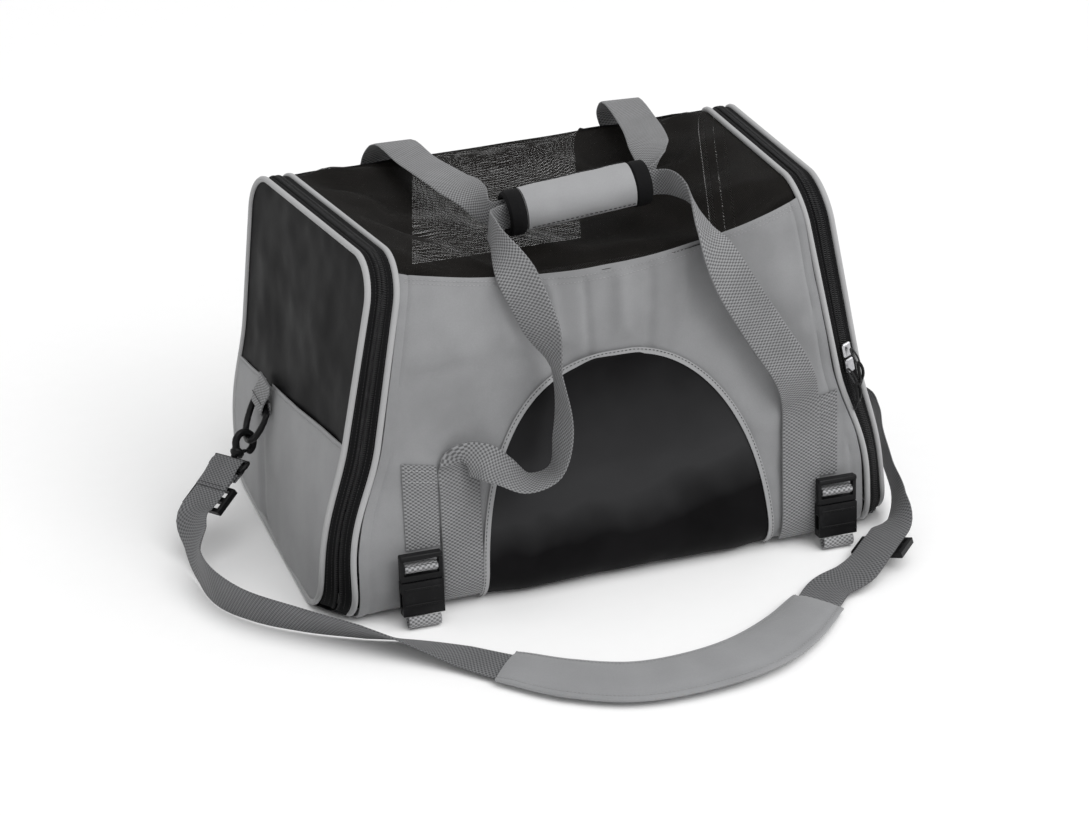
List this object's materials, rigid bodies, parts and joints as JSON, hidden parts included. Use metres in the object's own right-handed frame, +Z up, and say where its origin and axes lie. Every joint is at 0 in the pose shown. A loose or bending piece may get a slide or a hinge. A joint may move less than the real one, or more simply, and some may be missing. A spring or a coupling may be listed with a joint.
{
  "type": "pet carrier bag",
  "caption": "Soft-sided pet carrier bag with zipped end doors, a see-through mesh top, a front pocket, wrapped carry handles and a padded shoulder strap.",
  "frame": {"origin": "middle of the flat base, on the surface that the bag stands on", "axes": "+X along the bag's length, from the left door to the right door; -Y out of the front pocket side; +Z up"},
  "size_m": [0.6304, 0.4963, 0.334],
  "materials": {
    "black_mesh": "fine open mesh",
    "black_nylon": "coated nylon, slight sheen",
    "black_plastic": "moulded, satin",
    "board": "hardboard in a nylon sleeve",
    "fleece": "short fleece pile",
    "grey_fabric": "plain-woven polyester, matt",
    "light_trim": "covered piping, pale",
    "webbing": "woven webbing",
    "zip_metal": "polished",
    "zip_tape": "coil zip tape"
  },
  "bodies": {
    "bag": {"base_board": "board", "body_piping_left": "light_trim", "body_piping_right": "light_trim", "bottom_panel": "black_nylon", "buckle_socket_left": "black_plastic", "buckle_socket_right": "black_plastic", "buckle_strap_left": "webbing", "buckle_strap_right": "webbing", "buckle_tab_left": "webbing", "buckle_tab_right": "webbing", "fleece_mat": "fleece", "front_handle": "webbing", "front_panel": "grey_fabric", "front_pocket_panel": "black_nylon", "rear_handle": "webbing", "rear_lower_panel": "grey_fabric", "rear_mesh_window": "black_mesh", "rear_upper_panel": "black_nylon", "shoulder_pad": "grey_fabric", "shoulder_strap_left": "webbing", "shoulder_strap_right": "webbing", "top_mesh_panel": "black_mesh", "zip_tape_body_left": "zip_tape", "zip_tape_body_right": "zip_tape"},
    "door_left": {"door_panel_left": "grey_fabric", "door_piping_left": "light_trim", "door_window_left": "black_nylon", "hook_eye_left": "black_plastic", "ring_tab_left": "webbing", "zip_tape_door_left": "zip_tape"},
    "ring_left": {"d_ring_left": "black_plastic"},
    "hook_left": {"hook_snap_left": "black_plastic"},
    "gate_left": {"hook_gate_left": "black_plastic"},
    "glide_left": {"strap_glide_left": "black_plastic"},
    "plug_left": {"buckle_plug_left": "black_plastic"},
    "prong_left_inner": {"buckle_prong_left_inner": "black_plastic"},
    "prong_left_outer": {"buckle_prong_left_outer": "black_plastic"},
    "slider_left_upper": {"zip_slider_left_upper": "zip_metal"},
    "pull_left_upper": {"pull_tab_left_upper": "black_plastic"},
    "slider_left_lower": {"zip_slider_left_lower": "zip_metal"},
    "pull_left_lower": {"pull_tab_left_lower": "black_plastic"},
    "door_right": {"door_panel_right": "grey_fabric", "door_piping_right": "light_trim", "door_window_right": "black_nylon", "hook_eye_right": "black_plastic", "ring_tab_right": "webbing", "zip_tape_door_right": "zip_tape"},
    "ring_right": {"d_ring_right": "black_plastic"},
    "hook_right": {"hook_snap_right": "black_plastic"},
    "gate_right": {"hook_gate_right": "black_plastic"},
    "glide_right": {"strap_glide_right": "black_plastic"},
    "plug_right": {"buckle_plug_right": "black_plastic"},
    "prong_right_inner": {"buckle_prong_right_inner": "black_plastic"},
    "prong_right_outer": {"buckle_prong_right_outer": "black_plastic"},
    "slider_right_upper": {"zip_slider_right_upper": "zip_metal"},
    "pull_right_upper": {"pull_tab_right_upper": "black_plastic"},
    "slider_right_lower": {"zip_slider_right_lower": "zip_metal"},
    "pull_right_lower": {"pull_tab_right_lower": "black_plastic"},
    "handle_grip": {"grip_wrap": "grey_fabric"},
    "grip_flap": {"grip_flap": "grey_fabric"}
  },
  "joints": [
    {"name": "door_left_hinge", "type": "hinge", "parent": "bag", "child": "door_left", "pos_m": [-0.2435, 0, 0.003], "axis": [0, -1, 0], "range_deg": [0, 75], "deforming": ["shoulder_strap_left"]},
    {"name": "ring_left_swing", "type": "hinge", "parent": "door_left", "child": "ring_left", "pos_m": [-0.24006, 0.045, 0.106], "axis": [0, 1, 0], "range_deg": [-1, 3]},
    {"name": "hook_left_swivel", "type": "hinge", "parent": "door_left", "child": "hook_left", "pos_m": [-0.26443, 0.03299, 0.07329], "axis": [-0.7159, -0.466, -0.5199], "range_deg": [-10, 10]},
    {"name": "gate_left_spring", "type": "hinge", "parent": "hook_left", "child": "gate_left", "pos_m": [-0.26082, 0.03407, 0.07183], "axis": [0.377, -0.8848, 0.2738], "range_deg": [0, 20], "stiffness_Nm_per_rad": 0.004},
    {"name": "glide_left_slide", "type": "slide", "parent": "door_left", "child": "glide_left", "axis": [-0.7159, -0.466, -0.5199], "range_m": [-0.004, 0.005]},
    {"name": "plug_left_slide", "type": "slide", "parent": "bag", "child": "plug_left", "axis": [0, 0.1098, 0.994], "range_m": [0, 0.03]},
    {"name": "prong_left_inner_flex", "type": "hinge", "parent": "plug_left", "child": "prong_left_inner", "pos_m": [-0.1605, -0.16626, 0.03876], "axis": [0, 0.994, -0.1098], "range_deg": [0, 8], "stiffness_Nm_per_rad": 0.05},
    {"name": "prong_left_outer_flex", "type": "hinge", "parent": "plug_left", "child": "prong_left_outer", "pos_m": [-0.1755, -0.16626, 0.03876], "axis": [0, -0.994, 0.1098], "range_deg": [0, 8], "stiffness_Nm_per_rad": 0.05},
    {"name": "slider_left_upper_slide", "type": "slide", "parent": "bag", "child": "slider_left_upper", "axis": [0.0897, -0.0387, 0.9952], "range_m": [0, 0.085]},
    {"name": "pull_left_upper_swing", "type": "hinge", "parent": "slider_left_upper", "child": "pull_left_upper", "pos_m": [-0.2176, 0.13877, 0.16562], "axis": [0.996, 0.0035, -0.0896], "range_deg": [0, 150]},
    {"name": "slider_left_lower_slide", "type": "slide", "parent": "bag", "child": "slider_left_lower", "axis": [0.1021, -0.0386, 0.994], "range_m": [-0.02, 0]},
    {"name": "pull_left_lower_swing", "type": "hinge", "parent": "slider_left_lower", "child": "pull_left_lower", "pos_m": [-0.21907, 0.13934, 0.15093], "axis": [0.9948, 0.004, -0.102], "range_deg": [0, 150]},
    {"name": "door_right_hinge", "type": "hinge", "parent": "bag", "child": "door_right", "pos_m": [0.252, 0, 0.003], "axis": [0, 1, 0], "range_deg": [0, 75], "deforming": ["shoulder_strap_right"]},
    {"name": "ring_right_swing", "type": "hinge", "parent": "door_right", "child": "ring_right", "pos_m": [0.24121, 0.045, 0.106], "axis": [0, -1, 0], "range_deg": [-1, 3]},
    {"name": "hook_right_swivel", "type": "hinge", "parent": "door_right", "child": "hook_right", "pos_m": [0.26721, 0.03255, 0.07309], "axis": [0.6805, -0.5003, -0.5354], "range_deg": [-10, 10]},
    {"name": "gate_right_spring", "type": "hinge", "parent": "hook_right", "child": "gate_right", "pos_m": [0.26767, 0.03371, 0.07693], "axis": [-0.3932, -0.8658, 0.3094], "range_deg": [0, 20], "stiffness_Nm_per_rad": 0.004},
    {"name": "glide_right_slide", "type": "slide", "parent": "bag", "child": "glide_right", "axis": [-0.7409, -0.6608, -0.1201], "range_m": [-0.004, 0.005]},
    {"name": "plug_right_slide", "type": "slide", "parent": "bag", "child": "plug_right", "axis": [0, 0.1098, 0.994], "range_m": [0, 0.03]},
    {"name": "prong_right_inner_flex", "type": "hinge", "parent": "plug_right", "child": "prong_right_inner", "pos_m": [0.1855, -0.15738, 0.03876], "axis": [0, -0.994, 0.1098], "range_deg": [0, 8], "stiffness_Nm_per_rad": 0.05},
    {"name": "prong_right_outer_flex", "type": "hinge", "parent": "plug_right", "child": "prong_right_outer", "pos_m": [0.2005, -0.15738, 0.03876], "axis": [0, 0.994, -0.1098], "range_deg": [0, 8], "stiffness_Nm_per_rad": 0.05},
    {"name": "slider_right_upper_slide", "type": "slide", "parent": "bag", "child": "slider_right_upper", "axis": [-0.2041, 0.0766, 0.9759], "range_m": [0, 0.085]},
    {"name": "pull_right_upper_swing", "type": "hinge", "parent": "slider_right_upper", "child": "pull_right_upper", "pos_m": [0.20871, -0.13579, 0.16631], "axis": [-0.9262, -0.3379, -0.1672], "range_deg": [0, 150]},
    {"name": "slider_right_lower_slide", "type": "slide", "parent": "bag", "child": "slider_right_lower", "axis": [-0.2143, 0.0764, 0.9738], "range_m": [-0.02, 0]},
    {"name": "pull_right_lower_swing", "type": "hinge", "parent": "slider_right_lower", "child": "pull_right_lower", "pos_m": [0.21208, -0.13686, 0.15171], "axis": [-0.9141, -0.3671, -0.1723], "range_deg": [0, 150]},
    {"name": "handle_lift", "type": "slide", "parent": "bag", "child": "handle_grip", "axis": [0, 0, 1], "range_m": [0, 0.1], "deforming": ["front_handle", "rear_handle"]},
    {"name": "grip_flap_hinge", "type": "hinge", "parent": "handle_grip", "child": "grip_flap", "pos_m": [-0.00579, -0.05811, 0.31763], "axis": [-0.9949, 0, -0.1012], "range_deg": [0, 100]}
  ]
}
